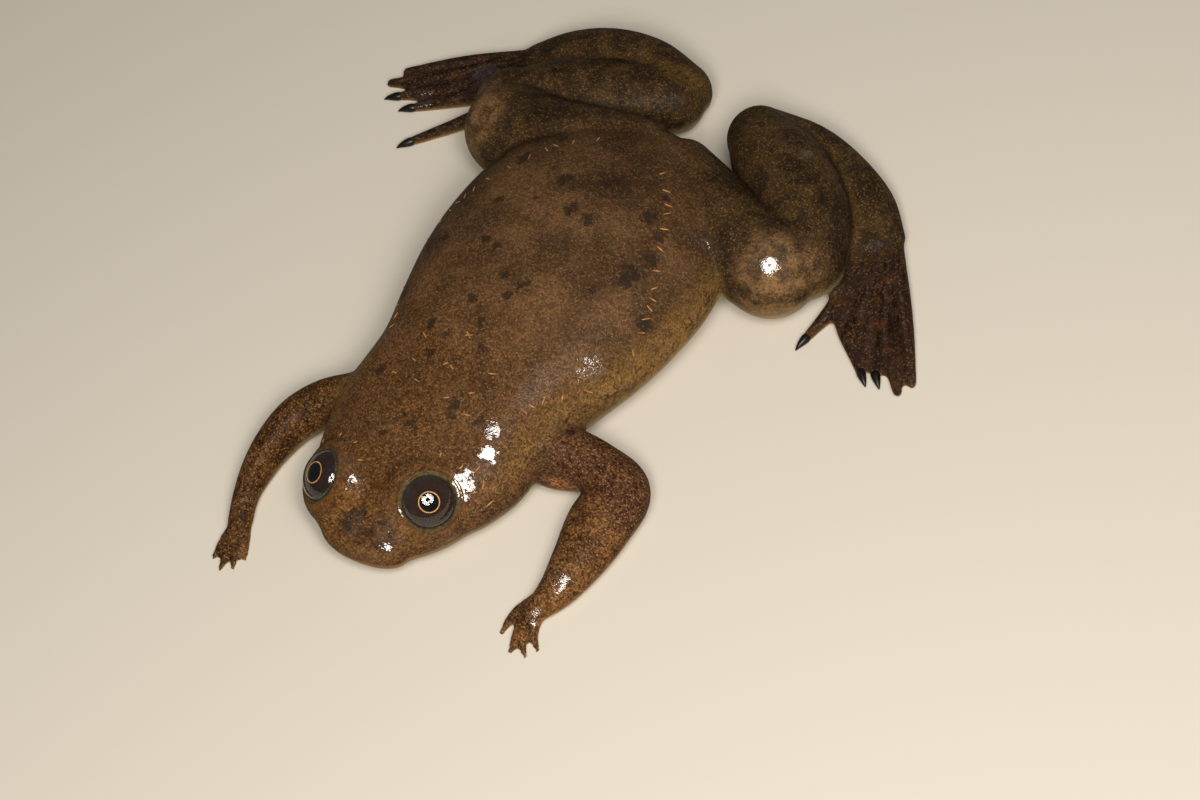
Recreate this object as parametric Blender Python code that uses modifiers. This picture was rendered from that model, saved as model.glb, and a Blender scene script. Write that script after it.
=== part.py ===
"""African clawed frog, life size, lying with its hind legs folded and its head turned a little to its left.

The snout points to -Y and the back is up. The frog is modelled whole: smooth forms are drawn out along the
body and limbs, fused into one skin, trimmed level with the floor, and then parted into its named members by
thin upright cuts. The origin lies on the floor, on the flat of the belly.
"""

import math

import bmesh
import bpy
import numpy as np
from mathutils import Matrix, Vector

# Driving dimensions
SNOUT_TO_VENT = 0.080  # metres
DESIGN_LENGTH = 80.0  # the numbers below are millimetres on a frog of this length
UNIT = SNOUT_TO_VENT / DESIGN_LENGTH
GAP = 0.3  # width of the cuts between the members
VOXEL = 0.42  # grid on which the forms fuse
SKIN_TRIANGLES = 7600  # of the whole fused skin, before it is parted

# Spine, y and x from the snout to the rump: straight behind the neck, turned to the left in front of it
SPINE = ((-41.3, 2.2), (-38.0, 1.5), (-33.0, 0.65), (-28.5, 0.1), (-24.0, 0.0), (-18.0, 0.0), (38.4, 0.0))
SNOUT_CAP = 2.8
RUMP_CAP = 4.0

# Body sections: distance behind the snout, half width, height of the widest place, rise above and drop below
BODY = (
    (2.8, 6.9, 4.3, 3.7, 3.3),
    (4.8, 9.1, 4.5, 4.9, 3.9),
    (7.6, 11.4, 4.7, 6.2, 4.6),
    (11.6, 13.5, 5.0, 7.3, 5.3),
    (16.1, 15.4, 5.4, 8.0, 5.9),
    (20.1, 16.4, 5.8, 8.5, 6.4),
    (24.6, 16.4, 6.4, 9.1, 6.9),
    (30.1, 16.5, 7.0, 9.8, 7.4),
    (36.8, 18.4, 7.6, 10.8, 8.1),
    (43.8, 20.3, 8.0, 11.6, 8.6),
    (51.8, 21.3, 8.3, 12.0, 9.0),
    (59.8, 21.0, 8.4, 11.4, 9.0),
    (66.8, 18.8, 8.4, 9.9, 8.6),
    (71.8, 15.2, 8.2, 8.0, 7.6),
    (75.8, 10.6, 8.0, 5.8, 5.8),
)

# Eyes: the middle of each opening between the lids, and the way the eye looks (left, up, forwards)
LIDS_LEFT = (8.9, -30.5, 10.8)
LIDS_RIGHT = (-7.8, -35.2, 10.2)
EYE_LOOKS = (0.52, 0.76, 0.38)
EYE_RADIUS = 3.9  # across; the ball is flatter than it is wide
EYE_BULGE = 2.8  # half its thickness along the way it looks
LID_PLANE = 0.9  # the lids end this far out from the ball's centre
MOUND_RADIUS = 6.6  # of the flesh round the ball, across and along the way it looks
MOUND_RISE = 4.2
MOUND_DEPTH = 3.2  # how far inside the lids' plane the flesh is centred

# Mouth and nostrils
MOUTH_HEIGHT = 3.0
MOUTH_REACH = 16.1  # the mouth's corners lie this far behind the snout
MOUTH_DEPTH = 0.9
MOUTH_GAP = 0.35
NOSTRIL_BEHIND_SNOUT = 2.8
NOSTRIL_ASIDE = 1.8
NOSTRIL_HEIGHT = 8.3
NOSTRIL_RADIUS = 0.5

# Limbs: x, y, z, half width, rise and, where it differs, drop along each, on the left side
THIGH = (
    (3.0, 34.2, 8.2, 5.4, 6.0, 6.8),
    (10.0, 31.4, 8.2, 6.3, 7.2, 8.1),
    (17.5, 28.4, 8.0, 7.0, 7.6, 8.3),
    (24.2, 27.8, 7.6, 7.2, 7.5, 8.0),
)
THIGH_CAPS = (4.0, 7.4)
KNEE = (27.4, 31.6, 7.2)  # a ball that fills the fold between thigh and shank on its outer side
KNEE_RADIUS = 6.0
SHANK = (
    (28.2, 31.6, 6.6, 5.4, 6.4),
    (23.8, 37.2, 6.6, 6.6, 6.9),
    (17.5, 41.8, 6.4, 7.0, 7.0),
    (11.5, 44.8, 5.9, 6.2, 6.3),
    (7.8, 46.9, 5.2, 5.0, 5.4),
)
SHANK_CAPS = (3.6, 4.6)
TARSUS = (
    (8.0, 49.4, 4.0, 3.4, 4.2),
    (15.0, 50.3, 3.9, 3.4, 4.0),
    (22.4, 48.8, 3.6, 3.6, 3.7),
    (27.6, 46.2, 3.0, 4.2, 3.1),
    (31.8, 42.0, 2.3, 4.7, 2.5),
)
TARSUS_CAPS = (4.2, 3.0)
SHANK_RIGHT = (  # the right shank lies lower, so that the tarsus shows above it
    (-28.2, 31.0, 6.2, 5.2, 5.8),
    (-23.8, 36.2, 6.0, 6.0, 5.9),
    (-17.5, 40.6, 5.8, 6.1, 5.7),
    (-11.5, 43.8, 5.5, 5.6, 5.3),
    (-7.8, 46.2, 5.0, 4.8, 4.9),
)
TARSUS_RIGHT = (
    (-8.0, 49.0, 4.6, 3.8, 4.9),
    (-15.0, 49.8, 4.6, 4.2, 5.0),
    (-22.4, 48.4, 4.3, 4.2, 4.6),
    (-27.6, 46.0, 3.4, 4.4, 3.6),
    (-31.8, 42.0, 2.3, 4.7, 2.5),
)
ARM_LEFT = (
    (11.0, -12.8, 7.0, 4.4, 4.4),
    (16.5, -12.2, 5.9, 4.2, 4.2),
    (22.5, -11.2, 4.6, 3.9, 4.1),
    (27.0, -12.3, 4.0, 4.6, 4.0),
    (27.9, -18.0, 3.5, 4.8, 3.9),
    (28.7, -24.3, 2.9, 3.8, 3.3),
    (28.7, -29.2, 2.2, 2.7, 2.5),
    (27.8, -33.0, 1.5, 1.8, 1.5),
)
ARM_RIGHT = (
    (-10.0, -17.4, 6.6, 4.0, 4.2),
    (-14.8, -20.8, 5.6, 3.6, 3.9),
    (-18.8, -23.8, 4.6, 3.4, 3.7),
    (-21.0, -27.6, 3.7, 3.2, 3.8),
    (-21.6, -32.2, 3.1, 2.8, 3.5),
    (-21.1, -37.2, 2.5, 2.3, 2.9),
    (-19.8, -41.4, 2.1, 1.9, 2.1),
    (-18.2, -44.6, 1.5, 1.9, 1.5),
)
ARM_CAPS = (3.0, 1.6)
ARMPIT_LEFT = (  # the fold of skin between the jaw's corner and the upper arm
    (14.4, -15.8, 4.6, 1.8, 1.8, 3.0),
    (17.6, -15.0, 4.0, 1.9, 1.8, 2.6),
    (20.8, -13.6, 3.6, 1.7, 1.7, 2.2),
)

# Fingers: root, middle and tip of each, x and y, from the thumb side outwards
FINGERS_LEFT = (
    ((26.3, -31.0), (25.1, -34.5), (25.4, -38.0)),
    ((26.9, -33.4), (27.3, -36.5), (28.4, -39.6)),
    ((27.5, -34.0), (28.6, -37.1), (30.6, -38.9)),
    ((28.4, -33.6), (29.6, -35.7), (31.5, -37.2)),
)
FINGERS_RIGHT = (
    ((-17.6, -44.4), (-15.7, -46.6), (-13.9, -48.8)),
    ((-18.0, -44.9), (-16.3, -48.0), (-14.5, -50.9)),
    ((-18.3, -45.1), (-17.3, -48.7), (-16.0, -52.0)),
    ((-18.7, -44.8), (-18.7, -48.1), (-18.2, -51.0)),
)
FINGER_SIZES = ((0.95, 0.95), (0.75, 0.75), (0.45, 0.5))  # half width, half height at root, middle and tip

# Toes: root, middle and tip of each, first to fifth, x and y
TOES_LEFT = (
    ((31.0, 38.6), (33.1, 30.2), (32.6, 24.2)),
    ((31.6, 40.0), (35.0, 29.4), (42.6, 23.4)),
    ((32.5, 41.0), (38.5, 29.6), (44.6, 24.2)),
    ((33.5, 42.0), (41.1, 31.0), (49.3, 23.2)),
    ((34.3, 43.0), (43.6, 33.2), (50.2, 25.4)),
)
TOES_RIGHT = (
    ((-31.0, 38.6), (-35.4, 29.8), (-41.4, 21.6)),
    ((-31.6, 40.0), (-38.0, 33.0), (-45.4, 26.8)),
    ((-32.5, 41.0), (-40.2, 34.0), (-48.8, 27.4)),
    ((-33.5, 42.0), (-42.2, 35.4), (-51.8, 28.6)),
    ((-34.3, 43.0), (-43.4, 37.4), (-51.0, 31.6)),
)
TOE_SIZES = ((1.7, 1.9), (1.2, 1.45), (0.75, 0.85))
WEB_HEIGHT = 0.85  # top of the web above the floor
WEB_REACH = (0.45, 0.93, 0.97, 0.99, 0.99)  # share of each toe's length that the web follows
WEB_SCALLOP = (0.50, 0.05, 0.06, 0.06)  # how far its edge hangs back between two toes

# Claws, on the three inner toes of each foot
CLAWED_TOES = 3
CLAW_LENGTH = 2.2
CLAW_RADIUS = 0.68

# Cuts that part the members, each an upright curtain over a line of x, y
NECK_CUT = ((-17.6, -27.7), (-14.2, -27.3), (0.0, -25.8), (17.6, -23.4))
SHOULDER_CUT_LEFT = ((18.4, -5.4), (17.0, -9.0), (16.5, -13.0), (16.9, -19.6))
SHOULDER_CUT_RIGHT = ((-17.8, -11.6), (-15.8, -16.6), (-14.6, -21.6), (-14.2, -27.3))
ELBOW_CUT_LEFT = ((34.0, -7.0), (21.0, -18.0))
ELBOW_CUT_RIGHT = ((-26.6, -23.0), (-15.6, -28.8))
WRIST_CUT_LEFT = ((23.0, -31.2), (33.0, -31.2))
WRIST_CUT_RIGHT = ((-24.0, -43.4), (-15.6, -40.2))
HIP_CUT = ((26.0, 16.4), (20.3, 20.2), (12.9, 24.5), (7.6, 28.2), (5.0, 33.0), (4.0, 43.0))
KNEE_CUT = ((1.6, 42.6), (6.6, 39.2), (13.0, 35.9), (20.0, 34.0), (27.0, 32.6), (32.0, 31.0))
HEEL_CUT = (
    (1.0, 50.0),
    (7.0, 50.6),
    (14.4, 50.2),
    (21.2, 47.8),
    (25.8, 44.7),
    (29.0, 40.9),
    (31.1, 36.2),
    (32.0, 31.0),
    (31.2, 26.0),
    (30.9, 17.6),
)
HEEL_CUT_RIGHT = (
    (-1.0, 49.4),
    (-7.0, 49.6),
    (-14.4, 48.6),
    (-21.2, 46.2),
    (-25.8, 43.8),
    (-29.0, 40.9),
    (-31.1, 36.2),
    (-32.0, 31.0),
    (-31.2, 26.0),
    (-30.9, 17.6),
)
INSTEP_CUT = ((29.0, 40.9), (38.4, 47.8))
CURTAIN_HEIGHT = 30.0

# A point of each member's middle, in plan, by which the parted pieces get their names
MIDDLES = {
    "head": (2.0, -33.0),
    "torso": (0.0, 8.0),
    "upper_arm_left": (22.0, -11.5),
    "forearm_left": (28.8, -21.0),
    "hand_left": (30.0, -36.0),
    "upper_arm_right": (-17.8, -22.0),
    "forearm_right": (-21.2, -35.0),
    "hand_right": (-16.0, -47.5),
    "thigh_left": (19.0, 28.5),
    "shank_left": (18.0, 40.5),
    "tarsus_left": (16.0, 50.0),
    "foot_left": (41.0, 33.0),
    "thigh_right": (-19.0, 28.5),
    "shank_right": (-18.0, 40.5),
    "tarsus_right": (-16.0, 50.0),
    "foot_right": (-41.0, 33.0),
}

# Colours of the members, linear, with their roughness
SKIN_BACK = ((0.130, 0.075, 0.034), 0.35)
SKIN_LIMB = ((0.085, 0.045, 0.022), 0.35)
EYE_IRIS = ((0.030, 0.020, 0.016), 0.08)
CLAW_HORN = ((0.008, 0.008, 0.008), 0.3)


def clear_scene():
    for item in list(bpy.data.objects):
        bpy.data.objects.remove(item)


def new_collection(name):
    collection = bpy.data.collections.new(name)
    bpy.context.scene.collection.children.link(collection)
    return collection


def make_material(name, look):
    colour, roughness = look
    material = bpy.data.materials.new(name)
    material.use_nodes = True
    shader = material.node_tree.nodes["Principled BSDF"]
    shader.inputs["Base Color"].default_value = (*colour, 1.0)
    shader.inputs["Roughness"].default_value = roughness
    shader.inputs["Metallic"].default_value = 0.0
    return material


def flowing(knots, rows, at):
    """Rows of numbers given at knots, read smoothly at other places by a cubic through them."""
    knots, rows, at = np.asarray(knots, float), np.asarray(rows, float), np.asarray(at, float)
    slopes = np.gradient(rows, knots, axis=0)
    left = np.clip(np.searchsorted(knots, at, side="right") - 1, 0, len(knots) - 2)
    span = (knots[left + 1] - knots[left])[:, None]
    u = ((at - knots[left])[:, None]) / span
    start = (2 * u**3 - 3 * u**2 + 1) * rows[left] + (u**3 - 2 * u**2 + u) * span * slopes[left]
    end = (3 * u**2 - 2 * u**3) * rows[left + 1] + (u**3 - u**2) * span * slopes[left + 1]
    return start + end


def distances(points):
    """How far along a path each of its points lies."""
    steps = np.linalg.norm(np.diff(np.asarray(points, float), axis=0), axis=1)
    return np.concatenate([[0.0], np.cumsum(steps)])


def mirrored(rows):
    return tuple((-row[0], *row[1:]) for row in rows)


def link_mesh(name, mesh_builder, collection):
    mesh = bpy.data.meshes.new(name)
    mesh_builder.to_mesh(mesh)
    mesh_builder.free()
    item = bpy.data.objects.new(name, mesh)
    collection.objects.link(item)
    return item


def draw_out(name, stations, caps, collection, around=28, rings=40, square=(2.0, 2.0)):
    """A sphere drawn out along a path, each of its rings becoming one section.

    A station is x, y, z of the section's widest place, its half width, its rise and, if it differs, its drop.
    caps are the lengths of the rounded ends. square is how full a section's upper and lower corners are.
    """
    rows = np.array([row if len(row) == 6 else (*row, row[4]) for row in stations], float)
    knots = distances(rows[:, :3])
    reach = knots[-1] + caps[0] + caps[1]
    builder = bmesh.new()
    bmesh.ops.create_uvsphere(builder, u_segments=around, v_segments=rings, radius=1.0)
    for vertex in builder.verts:
        share = math.acos(max(-1.0, min(1.0, vertex.co.z))) / math.pi
        share -= 0.12 * math.sin(2 * math.pi * share)  # rings closer together towards the ends
        along = reach * share - caps[0]
        inside = min(max(along, 0.0), knots[-1])
        x, y, z, wide, rise, drop = flowing(knots, rows, [inside])[0]
        ahead, behind = flowing(knots, rows[:, :3], [min(inside + 0.2, knots[-1]), max(inside - 0.2, 0.0)])
        forwards = Vector(ahead - behind).normalized()
        sideways = Vector((0, 0, 1)).cross(forwards).normalized()
        up = forwards.cross(sideways)
        beyond = along - inside
        cap = caps[0] if beyond < 0 else caps[1]
        shrink = math.sqrt(max(0.0, 1.0 - (beyond / cap) ** 2))
        turn = math.atan2(vertex.co.y, vertex.co.x)
        above = math.sin(turn) >= 0
        power = 2.0 / square[0 if above else 1]
        across = math.copysign(abs(math.cos(turn)) ** power, math.cos(turn)) * wide
        height = abs(math.sin(turn)) ** power * (rise if above else -drop)
        vertex.co = (
            Vector((x, y, z)) + forwards * beyond + sideways * across * shrink + up * height * shrink
        ) * UNIT
    if builder.calc_volume(signed=True) < 0:
        bmesh.ops.reverse_faces(builder, faces=builder.faces)
    return link_mesh(name, builder, collection)


def spine(behind_snout):
    """The place of the spine in plan, and the way forwards there, at a distance behind the snout."""
    table = np.array(SPINE)
    y = table[0, 0] + behind_snout
    x, behind = flowing(table[:, 0], table[:, 1:], [y, y + 0.5])[:, 0]
    return Vector((x, y, 0)), Vector((x - behind, -0.5, 0)).normalized()


def head_point(behind_snout, aside, height):
    """A place in the turned head: aside is towards the frog's left."""
    middle, forwards = spine(behind_snout)
    left = Vector((-forwards.y, forwards.x, 0))
    return middle + left * aside + Vector((0, 0, height))


def body_section(behind_snout):
    """Half width, height of the widest place, rise and drop of the body there."""
    table = np.array(BODY)
    return flowing(table[:, 0], table[:, 1:], [behind_snout])[0]


def body_form(collection):
    stations = []
    for behind_snout, wide, height, rise, drop in BODY:
        middle, _ = spine(behind_snout)
        stations.append((middle.x, middle.y, height, wide, rise, drop))
    caps = (SNOUT_CAP, RUMP_CAP)
    return draw_out("body_form", stations, caps, collection, around=64, rings=90, square=(2.2, 2.5))


def eye_frame(side):
    """The middle of the opening between the lids, and the way that the eye looks."""
    middle = Vector(LIDS_LEFT if side > 0 else LIDS_RIGHT)
    _, forwards = spine(middle.y - SPINE[0][0])
    left = Vector((-forwards.y, forwards.x, 0))
    looks = left * EYE_LOOKS[0] * side + Vector((0, 0, EYE_LOOKS[1])) + forwards * EYE_LOOKS[2]
    return middle, looks.normalized()


def flat_ball(name, side, depth, radius, bulge, collection, around=24, rings=14):
    """A ball flattened along the way the eye looks, centred at a depth behind the lids' plane."""
    middle, looks = eye_frame(side)
    builder = bmesh.new()
    bmesh.ops.create_uvsphere(builder, u_segments=around, v_segments=rings, radius=UNIT)
    bmesh.ops.scale(builder, verts=builder.verts, vec=(radius, radius, bulge))
    turned = looks.to_track_quat("Z", "Y").to_matrix().to_4x4()
    place = Matrix.Translation((middle - looks * depth) * UNIT) @ turned
    bmesh.ops.transform(builder, verts=builder.verts, matrix=place)
    return link_mesh(name, builder, collection)


def ball(name, centre, radius, collection, around=24, rings=16):
    builder = bmesh.new()
    bmesh.ops.create_uvsphere(builder, u_segments=around, v_segments=rings, radius=radius * UNIT)
    bmesh.ops.translate(builder, verts=builder.verts, vec=Vector(centre) * UNIT)
    return link_mesh(name, builder, collection)


def digit_stations(points, sizes, lift=0.0):
    """Stations of a finger or toe that lies on the floor, from three places in plan."""
    return [(x, y, high - 0.15 + lift, wide, high) for (x, y), (wide, high) in zip(points, sizes)]


def web_form(name, toes, collection):
    """The web of a foot: a flat sheet through the roots of the toes and along them nearly to their tips."""
    knots = (0.0, 0.5, 1.0)
    curves = [flowing(knots, toe, np.linspace(0, reach, 9)) for toe, reach in zip(toes, WEB_REACH)]
    outline = list(curves[0][:-1])
    for first, second, hang in zip(curves, curves[1:], WEB_SCALLOP):
        middle = (first[-1] + second[-1]) / 2
        root = (first[0] + second[0]) / 2
        outline += [first[-1], middle + (root - middle) * hang]
    outline += list(curves[-1][::-1])
    curve = bpy.data.curves.new(name, "CURVE")
    curve.dimensions = "2D"
    curve.fill_mode = "BOTH"
    curve.extrude = (WEB_HEIGHT + 0.4) / 2 * UNIT
    line = curve.splines.new("POLY")
    line.points.add(len(outline) - 1)
    for point, (x, y) in zip(line.points, outline):
        point.co = (x * UNIT, y * UNIT, 0, 1)
    line.use_cyclic_u = True
    flat = bpy.data.objects.new(name + "_outline", curve)
    flat.location.z = (WEB_HEIGHT - 0.4) / 2 * UNIT
    collection.objects.link(flat)
    return as_mesh(flat, name, collection)


def as_mesh(item, name, collection):
    """The object as the viewport shows it, made a plain mesh in its place with its caps welded."""
    bpy.context.view_layer.update()
    graph = bpy.context.evaluated_depsgraph_get()
    mesh = bpy.data.meshes.new_from_object(item.evaluated_get(graph))
    mesh.transform(item.matrix_world)
    bpy.data.objects.remove(item)
    builder = bmesh.new()
    builder.from_mesh(mesh)
    bpy.data.meshes.remove(mesh)
    bmesh.ops.remove_doubles(builder, verts=builder.verts, dist=0.00001)
    return link_mesh(name, builder, collection)


def leg_forms(side, collection):
    draw_out("thigh_form", THIGH if side > 0 else mirrored(THIGH), THIGH_CAPS, collection)
    draw_out("shank_form", SHANK if side > 0 else SHANK_RIGHT, SHANK_CAPS, collection)
    draw_out("tarsus_form", TARSUS if side > 0 else TARSUS_RIGHT, TARSUS_CAPS, collection)
    ball("knee_form", (KNEE[0] * side, KNEE[1], KNEE[2]), KNEE_RADIUS, collection)
    toes = TOES_LEFT if side > 0 else TOES_RIGHT
    for toe in toes:
        draw_out("toe_form", digit_stations(toe, TOE_SIZES), (1.0, 0.8), collection, around=14, rings=24)
    web_form("web_form", toes, collection)


def arm_forms(stations, fingers, collection):
    draw_out("arm_form", stations, ARM_CAPS, collection, rings=60)
    for finger in fingers:
        places = digit_stations(finger, FINGER_SIZES)
        draw_out("finger_form", places, (0.8, 0.5), collection, around=12, rings=20)


def fused_skin(forms, collection):
    """All the forms fused into one skin, smoothed where they meet and thinned to its triangles."""
    builder = bmesh.new()
    for form in list(forms.objects):
        builder.from_mesh(form.data)
        bpy.data.objects.remove(form)
    skin = link_mesh("skin", builder, collection)
    fuse = skin.modifiers.new("fuse", "REMESH")
    fuse.mode = "VOXEL"
    fuse.voxel_size = VOXEL * UNIT
    soften = skin.modifiers.new("soften", "SMOOTH")
    soften.factor = 0.5
    soften.iterations = 4
    skin = as_mesh(skin, "skin", collection)
    thin = skin.modifiers.new("thin", "DECIMATE")
    thin.ratio = SKIN_TRIANGLES / (2 * len(skin.data.polygons))
    return as_mesh(skin, "skin", collection)


def cut_away(skin, cutter, collection):
    """Takes the cutter's shape out of the skin, and removes the cutter."""
    cut = skin.modifiers.new("cut", "BOOLEAN")
    cut.operation = "DIFFERENCE"
    cut.object = cutter
    cutter.hide_render = True
    cutter.display_type = "WIRE"
    parted = as_mesh(skin, "skin", collection)
    bpy.data.objects.remove(cutter)
    return parted


def curtains(lines, collection):
    """Thin upright sheets over smooth lines in plan, as one cutter."""
    curve = bpy.data.curves.new("curtains", "CURVE")
    curve.dimensions = "2D"
    curve.fill_mode = "NONE"
    curve.extrude = CURTAIN_HEIGHT / 2 * UNIT
    for line in lines:
        places = np.array(line, float)
        if len(line) > 2:
            knots = distances(places)
            halfway = (knots[:-1] + knots[1:]) / 2
            places = flowing(knots, places, sorted([*knots, *halfway]))
        spline = curve.splines.new("POLY")
        spline.points.add(len(places) - 1)
        for point, (x, y) in zip(spline.points, places):
            point.co = (x * UNIT, y * UNIT, 0, 1)
    sheets = bpy.data.objects.new("curtain_lines", curve)
    sheets.location.z = (CURTAIN_HEIGHT / 2 - 2.0) * UNIT
    collection.objects.link(sheets)
    sheets = as_mesh(sheets, "curtains", collection)
    wall = sheets.modifiers.new("wall", "SOLIDIFY")
    wall.thickness = GAP * UNIT
    wall.offset = 0.0
    return as_mesh(sheets, "curtains", collection)


def block(name, centre, size, turned, collection):
    builder = bmesh.new()
    bmesh.ops.create_cube(builder, size=1.0)
    bmesh.ops.scale(builder, verts=builder.verts, vec=Vector(size) * UNIT)
    place = Matrix.Translation(Vector(centre) * UNIT) @ turned
    bmesh.ops.transform(builder, verts=builder.verts, matrix=place)
    return link_mesh(name, builder, collection)


def trim_to_floor(skin, collection):
    floor = block("floor", (0, 0, -10), (160, 160, 20), Matrix.Identity(4), collection)
    return cut_away(skin, floor, collection)


def open_mouth(skin, collection):
    """A slit along the edge of the head, from one corner of the mouth round the snout to the other."""
    line = []
    for behind_snout, share in ((MOUTH_REACH, 1), (11.6, 1), (7.6, 1), (4.8, 1), (2.8, 1), (1.0, 0.72)):
        wide = body_section(max(behind_snout, SNOUT_CAP))[0] * share
        line.append((behind_snout, wide))
    stations = []
    for behind_snout, wide in line:
        place = head_point(behind_snout, wide, MOUTH_HEIGHT)
        stations.append((place.x, place.y, place.z, MOUTH_DEPTH, MOUTH_GAP / 2))
    tip = head_point(0.1, 0, MOUTH_HEIGHT)
    stations.append((tip.x, tip.y, tip.z, MOUTH_DEPTH, MOUTH_GAP / 2))
    for behind_snout, wide in line[::-1]:
        place = head_point(behind_snout, -wide, MOUTH_HEIGHT)
        stations.append((place.x, place.y, place.z, MOUTH_DEPTH, MOUTH_GAP / 2))
    slit = draw_out("slit", stations, (0.8, 0.8), collection, around=8, rings=46)
    return cut_away(skin, slit, collection)


def open_nostrils(skin, collection):
    for side in (1, -1):
        place = head_point(NOSTRIL_BEHIND_SNOUT, NOSTRIL_ASIDE * side, NOSTRIL_HEIGHT)
        skin = cut_away(skin, ball("nostril", place, NOSTRIL_RADIUS, collection, 12, 8), collection)
    return skin


def open_lids(skin, side, collection):
    """The socket that the eyeball sits in, and the level where the lids end."""
    socket = flat_ball("socket", side, LID_PLANE, EYE_RADIUS + GAP, EYE_BULGE + GAP, collection)
    skin = cut_away(skin, socket, collection)
    middle, looks = eye_frame(side)
    turned = looks.to_track_quat("Z", "Y").to_matrix().to_4x4()
    above = block("above_lids", middle + looks * 3.0, (11.0, 11.0, 6.0), turned, collection)
    return cut_away(skin, above, collection)


def blunt_toes(skin, toes, collection):
    """Takes the flesh tips off the clawed toes, so that the claws meet flat faces."""
    for toe in toes[:CLAWED_TOES]:
        tip, forwards = toe_end(toe)
        turned = forwards.to_track_quat("X", "Z").to_matrix().to_4x4()
        beyond = block("beyond_toe", tip + forwards * 1.5, (3.0, 3.4, 6.0), turned, collection)
        skin = cut_away(skin, beyond, collection)
    return skin


def toe_end(toe):
    """Where the flesh of a clawed toe ends, and the way it points."""
    middle, tip = Vector((*toe[1], 0)), Vector((*toe[2], 0))
    forwards = (tip - middle).normalized()
    return tip + Vector((0, 0, 0.7)), forwards


def claw(name, toe, material, collection):
    tip, forwards = toe_end(toe)
    base = tip + forwards * (GAP + 0.12)
    stations = []
    for share, thick, drop in ((0.0, 1.0, 0.0), (0.35, 0.82, 0.02), (0.7, 0.5, 0.12), (0.95, 0.2, 0.34)):
        place = base + forwards * CLAW_LENGTH * share
        stations.append((place.x, place.y, 0.75 - drop, CLAW_RADIUS * thick, CLAW_RADIUS * thick))
    item = draw_out(name, stations, (0.12, 0.12), collection, around=8, rings=8)
    item.data.materials.append(material)
    return item


def name_members(skin, materials, collection):
    """Splits the parted skin into its loose pieces, and keeps the largest at each member's middle."""
    builder = bmesh.new()
    builder.from_mesh(skin.data)
    bpy.data.objects.remove(skin)
    unseen = set(builder.verts)
    pieces = []
    while unseen:
        edge = [unseen.pop()]
        piece = set(edge)
        while edge:
            near = {e.other_vert(v) for v in edge for e in v.link_edges} & unseen
            unseen -= near
            piece |= near
            edge = list(near)
        pieces.append(piece)
    pieces.sort(key=len, reverse=True)
    middles = {n: Vector((x, y)) * UNIT for n, (x, y) in MIDDLES.items()}
    named = {}
    for piece in pieces:
        low = Vector(map(min, zip(*(v.co for v in piece))))
        high = Vector(map(max, zip(*(v.co for v in piece))))
        centre = ((low + high) / 2).to_2d()
        nearest = min(middles, key=lambda n: (middles[n] - centre).length)
        named.setdefault(nearest, piece)
    for name, piece in named.items():
        member = bmesh.new()
        copies = {v: member.verts.new(v.co) for v in sorted(piece, key=lambda v: v.index)}
        faces = {f for v in piece for f in v.link_faces}
        for face in sorted(faces, key=lambda f: f.index):
            member.faces.new([copies[v] for v in face.verts])
        item = link_mesh(name, member, collection)
        item.data.materials.append(materials["back" if name in ("head", "torso") else "limb"])
        item.data.set_sharp_from_angle(angle=math.radians(40))
    builder.free()
    missing = sorted(set(MIDDLES) - set(named))
    assert not missing, f"no piece for {missing}"


def part_members(skin, collection):
    """Parts the skin by its cuts in two rounds: no two cuts of one round touch."""
    first = [NECK_CUT, ELBOW_CUT_LEFT, WRIST_CUT_LEFT, WRIST_CUT_RIGHT, HIP_CUT, HEEL_CUT]
    first += [mirrored(HIP_CUT), HEEL_CUT_RIGHT]
    second = [SHOULDER_CUT_LEFT, SHOULDER_CUT_RIGHT, ELBOW_CUT_RIGHT, KNEE_CUT, INSTEP_CUT]
    second += [mirrored(KNEE_CUT), mirrored(INSTEP_CUT)]
    for lines in (first, second):
        skin = cut_away(skin, curtains(lines, collection), collection)
    return skin


def main():
    clear_scene()
    forms = new_collection("forms")
    work = new_collection("work")
    frog = new_collection("african_clawed_frog")
    materials = {
        "back": make_material("skin_back", SKIN_BACK),
        "limb": make_material("skin_limb", SKIN_LIMB),
    }
    iris = make_material("eye_iris", EYE_IRIS)
    horn = make_material("claw_horn", CLAW_HORN)

    body_form(forms)
    for side in (1, -1):
        flat_ball("eye_mound", side, MOUND_DEPTH, MOUND_RADIUS, MOUND_RISE, forms)
        leg_forms(side, forms)
    arm_forms(ARM_LEFT, FINGERS_LEFT, forms)
    arm_forms(ARM_RIGHT, FINGERS_RIGHT, forms)
    draw_out("armpit_form", ARMPIT_LEFT, (1.2, 1.2), forms, around=16, rings=20)

    skin = fused_skin(forms, work)
    skin = trim_to_floor(skin, work)
    skin = open_mouth(skin, work)
    skin = open_nostrils(skin, work)
    for side in (1, -1):
        skin = open_lids(skin, side, work)
    for toes in (TOES_LEFT, TOES_RIGHT):
        skin = blunt_toes(skin, toes, work)
    name_members(part_members(skin, work), materials, frog)

    for side, word, toes in ((1, "left", TOES_LEFT), (-1, "right", TOES_RIGHT)):
        eye = flat_ball("eye_" + word, side, LID_PLANE, EYE_RADIUS, EYE_BULGE, frog)
        eye.data.materials.append(iris)
        for number, toe in enumerate(toes[:CLAWED_TOES], start=1):
            claw(f"claw_{word}_{number}", toe, horn, frog)
    for collection in (forms, work):
        bpy.data.collections.remove(collection)


main()
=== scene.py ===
# %% [markdown]
# # An african clawed frog, life size
# This lesson builds a still model of an african clawed frog at rest: belly down, hind legs folded beside
# the rump, forelimbs reaching forwards, head turned a little to its left. The rigid model comes first as
# a frame. The living frog has one unbroken skin, so one fine skin takes the place of the frame's separate
# members, and the eyes and claws are dressed one by one.

# %% Load the frame
import math

import bmesh
import bpy
import numpy as np
from mathutils import Matrix, Vector
from mathutils.bvhtree import BVHTree
from mathutils.kdtree import KDTree


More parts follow.
